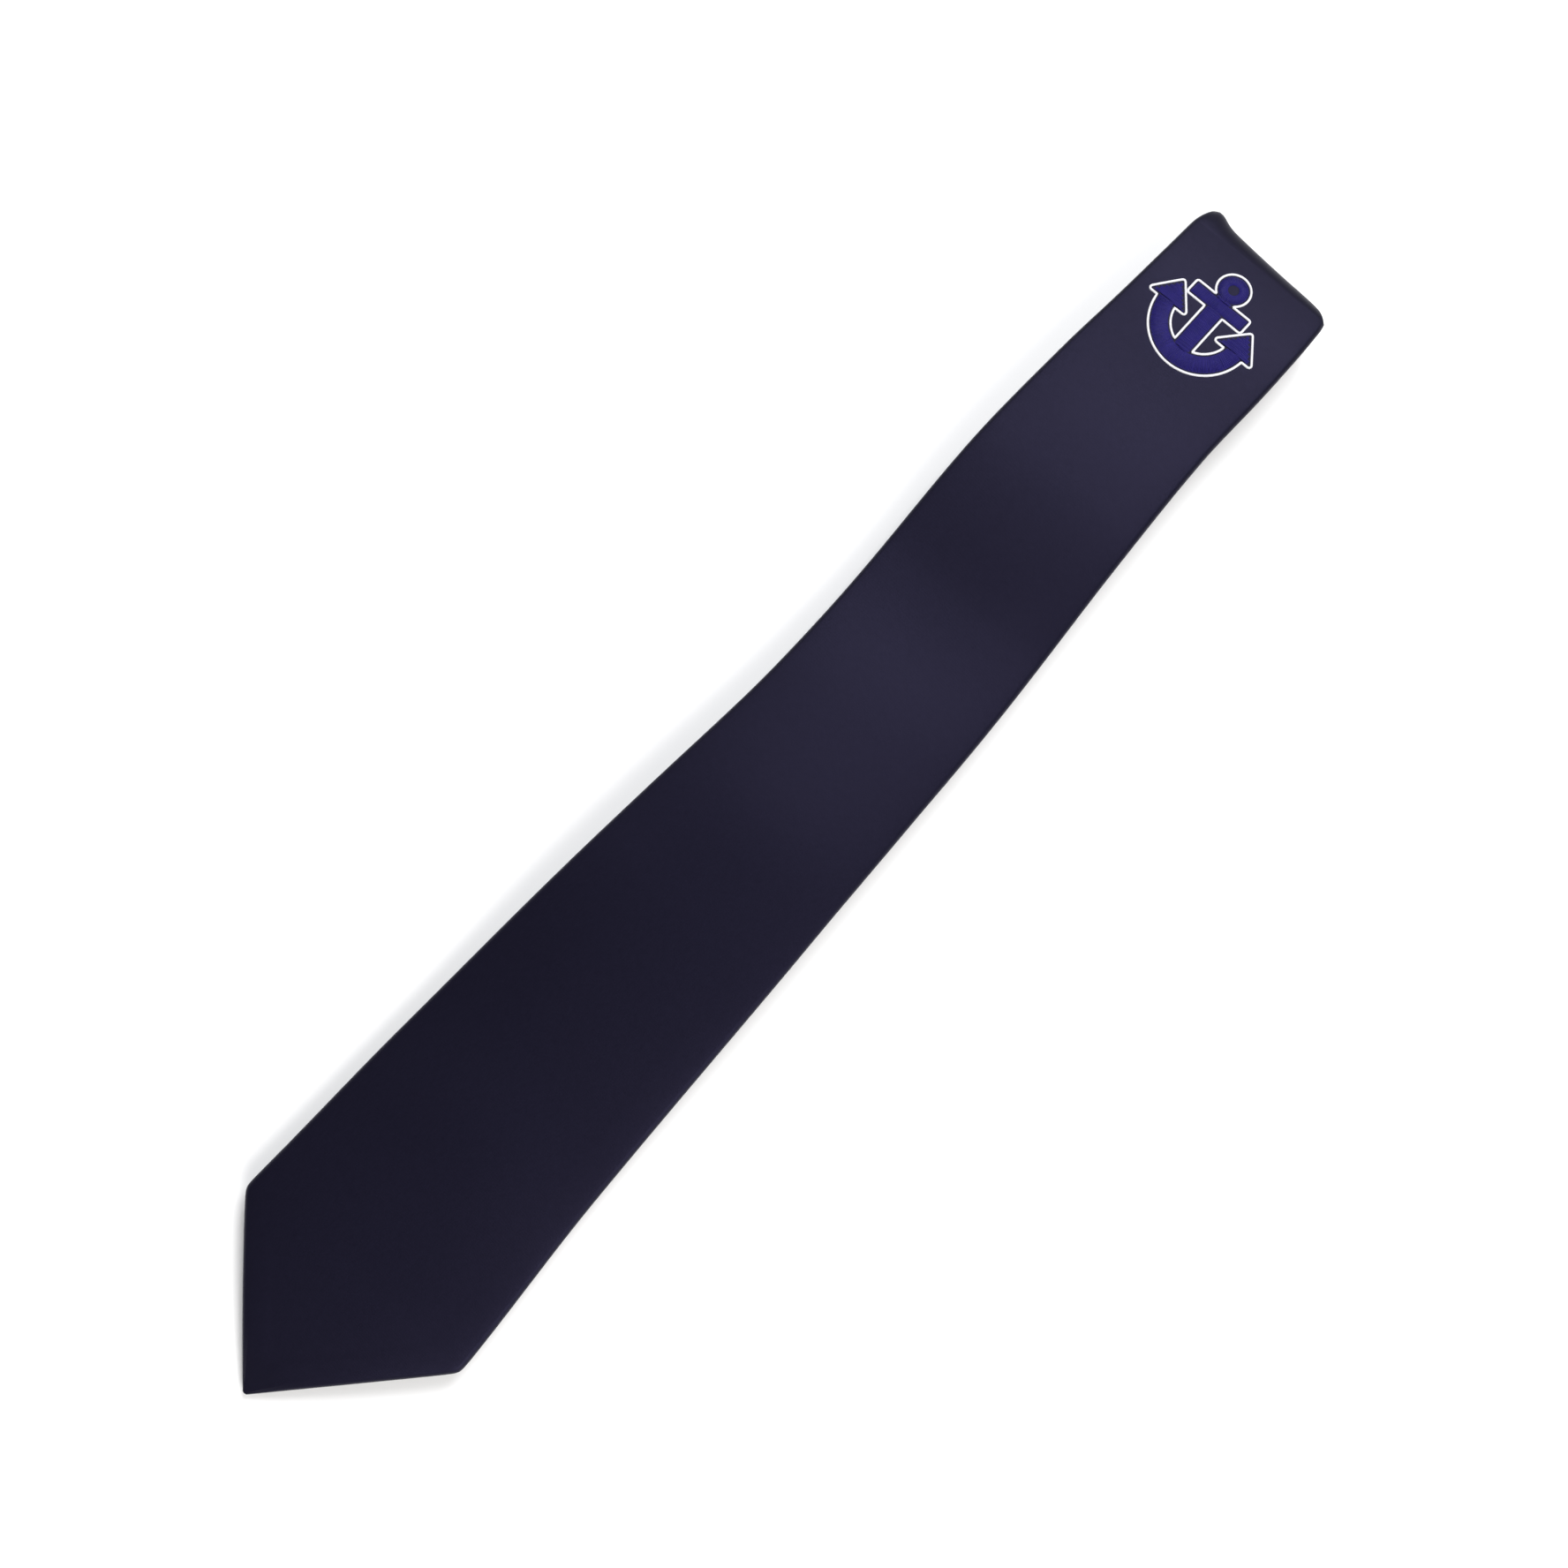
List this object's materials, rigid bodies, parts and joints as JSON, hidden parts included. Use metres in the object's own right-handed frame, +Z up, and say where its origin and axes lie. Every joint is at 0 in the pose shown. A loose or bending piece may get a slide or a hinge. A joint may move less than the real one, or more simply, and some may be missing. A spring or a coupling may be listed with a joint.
{
  "type": "necktie",
  "caption": "Dark navy silk necktie lying folded flat, pointed blade on top, with a keeper loop behind and a small embroidered anchor near the fold.",
  "frame": {"origin": "middle of the folded tie's footprint, on the surface it lies on", "axes": "+Z up from the table, +Y from the blade's point towards the folds, +X to the right of the blade seen from its front with the point down"},
  "size_m": [0.08, 0.4454, 0.0187],
  "materials": {
    "silk_shell": "matte satin weave, midnight navy with a violet cast",
    "wool_interlining": "brushed undyed wool",
    "tipping": "smooth twill lining",
    "sewing_thread": "twisted silk thread",
    "woven_label": "plain damask ribbon, left blank",
    "care_label": "plain satin ribbon, left blank",
    "emblem_fill": "satin-stitch thread, royal blue",
    "emblem_border": "corded thread, near white"
  },
  "bodies": {
    "lower_neck": {"lower_neck_neck_panel": "silk_shell", "lower_neck_tail_panel": "silk_shell", "lower_neck_interlining": "wool_interlining", "lower_neck_slip_stitch": "sewing_thread", "fold_2_shell": "silk_shell", "fold_2_interlining": "wool_interlining", "fold_3_shell": "silk_shell", "fold_3_interlining": "wool_interlining"},
    "upper_neck": {"upper_neck_blade_panel": "silk_shell", "upper_neck_neck_panel": "silk_shell", "upper_neck_interlining": "wool_interlining", "upper_neck_slip_stitch": "sewing_thread", "fold_1_shell": "silk_shell", "fold_1_interlining": "wool_interlining"},
    "blade": {"blade_shell": "silk_shell", "blade_interlining": "wool_interlining", "blade_tipping": "tipping", "blade_slip_stitch": "sewing_thread", "blade_bar_tack": "sewing_thread", "keeper_loop": "silk_shell", "woven_label": "woven_label", "care_label": "care_label", "emblem_fill": "emblem_fill", "emblem_border": "emblem_border"},
    "tail": {"tail_shell": "silk_shell", "tail_interlining": "wool_interlining", "tail_tipping": "tipping", "tail_slip_stitch": "sewing_thread", "tail_bar_tack": "sewing_thread"}
  },
  "joints": [
    {"name": "fold_1", "type": "hinge", "parent": "upper_neck", "child": "blade", "pos_m": [-0.0018, 0.21719, 0.0127], "axis": [-1, 0, 0], "range_deg": [0, 180], "deforming": ["fold_1_shell", "fold_1_interlining"]},
    {"name": "fold_2", "type": "hinge", "parent": "lower_neck", "child": "upper_neck", "pos_m": [-0.0015, -0.17231, 0.0033], "axis": [1, 0, 0], "range_deg": [0, 168], "deforming": ["fold_2_shell", "fold_2_interlining"]},
    {"name": "fold_3", "type": "hinge", "parent": "lower_neck", "child": "tail", "pos_m": [-0.0015, 0.19269, 0.0033], "axis": [1, 0, 0], "range_deg": [0, 180], "deforming": ["fold_3_shell", "fold_3_interlining"]}
  ]
}
